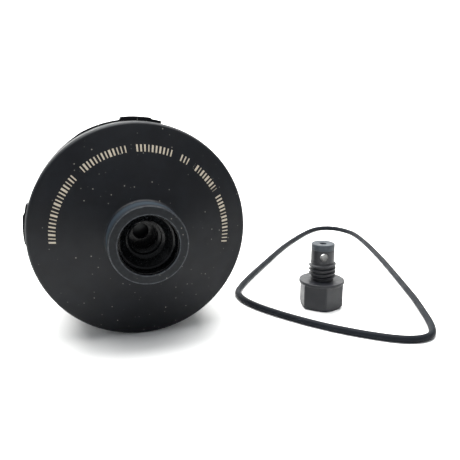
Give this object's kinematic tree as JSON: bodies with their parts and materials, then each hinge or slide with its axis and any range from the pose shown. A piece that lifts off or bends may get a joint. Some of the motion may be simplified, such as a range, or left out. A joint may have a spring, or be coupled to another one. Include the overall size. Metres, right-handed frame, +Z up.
{
  "type": "oil filter",
  "caption": "Bayonet oil filter canister lying on its side with its coned disc and threaded hub forward, beside its loose hex drain plug and loose housing seal ring.",
  "frame": {"origin": "centre of the outlet bore's mouth, in the plane of the canister's mounting face", "axes": "+Y out of the mounting face along the canister's axis, the disc and its hub face -Y; +Z up from the surface that the kit lies on; +X towards the loose plug and seal ring"},
  "size_m": [0.2265, 0.1985, 0.0918],
  "materials": {
    "bowl_plastic": "glass-filled polyamide, moulded satin black",
    "insert_black": "smooth glossy black threaded insert",
    "plate_plastic": "moulded polyamide, satin",
    "ring_steel": "zinc-plated spring steel",
    "spring_steel": "drawn stainless wire",
    "seal_rubber": "nitrile rubber, matte",
    "filter_paper": "resin-treated cellulose paper",
    "wrap_plastic": "thin perforated polypropylene",
    "tube_plastic": "moulded polyamide",
    "cap_plastic": "moulded polyamide, coloured",
    "silicone": "silicone rubber",
    "valve_plastic": "moulded polyamide",
    "poppet_plastic": "moulded acetal, black",
    "plug_plastic": "moulded polyamide, satin grey-black",
    "tip_rubber": "soft rubber tip",
    "loose_rubber": "moulded rubber, slight sheen"
  },
  "bodies": {
    "root": {"bowl": "bowl_plastic", "port_insert": "insert_black", "inlet_plate": "plate_plastic", "plate_retaining_ring": "ring_steel", "plate_seal": "seal_rubber", "collar_seal": "seal_rubber", "outlet_seal": "seal_rubber", "pleated_media": "filter_paper", "outer_wrap": "wrap_plastic", "centre_tube": "tube_plastic", "front_end_cap": "cap_plastic", "rear_end_cap": "cap_plastic", "element_grommet": "seal_rubber", "check_spring": "spring_steel", "bypass_seat": "valve_plastic", "bypass_spring": "spring_steel", "bypass_retainer": "ring_steel", "element_spring": "spring_steel", "spring_seat": "ring_steel"},
    "poppet": {"bypass_poppet": "poppet_plastic"},
    "check": {"check_disc": "silicone"},
    "plug": {"drain_plug": "plug_plastic", "plug_tip_seal": "tip_rubber"},
    "ring": {"seal_ring": "loose_rubber"}
  },
  "joints": [
    {"name": "bypass_open", "type": "slide", "parent": "root", "child": "poppet", "axis": [0, 1, 0], "range_m": [0, 0.0035], "stiffness_N_per_m": 1500, "springref_m": -0.002, "deforming": ["bypass_spring"]},
    {"name": "check_open", "type": "slide", "parent": "root", "child": "check", "axis": [0, -1, 0], "range_m": [0, 0.0012], "stiffness_N_per_m": 200, "springref_m": -0.001, "deforming": ["check_spring"]},
    {"name": "plug_lift", "type": "slide", "parent": "root", "child": "plug", "axis": [0, 0, 1], "range_m": [0, 0.1]},
    {"name": "ring_lift", "type": "slide", "parent": "root", "child": "ring", "axis": [0, 0, 1], "range_m": [0, 0.1]}
  ]
}
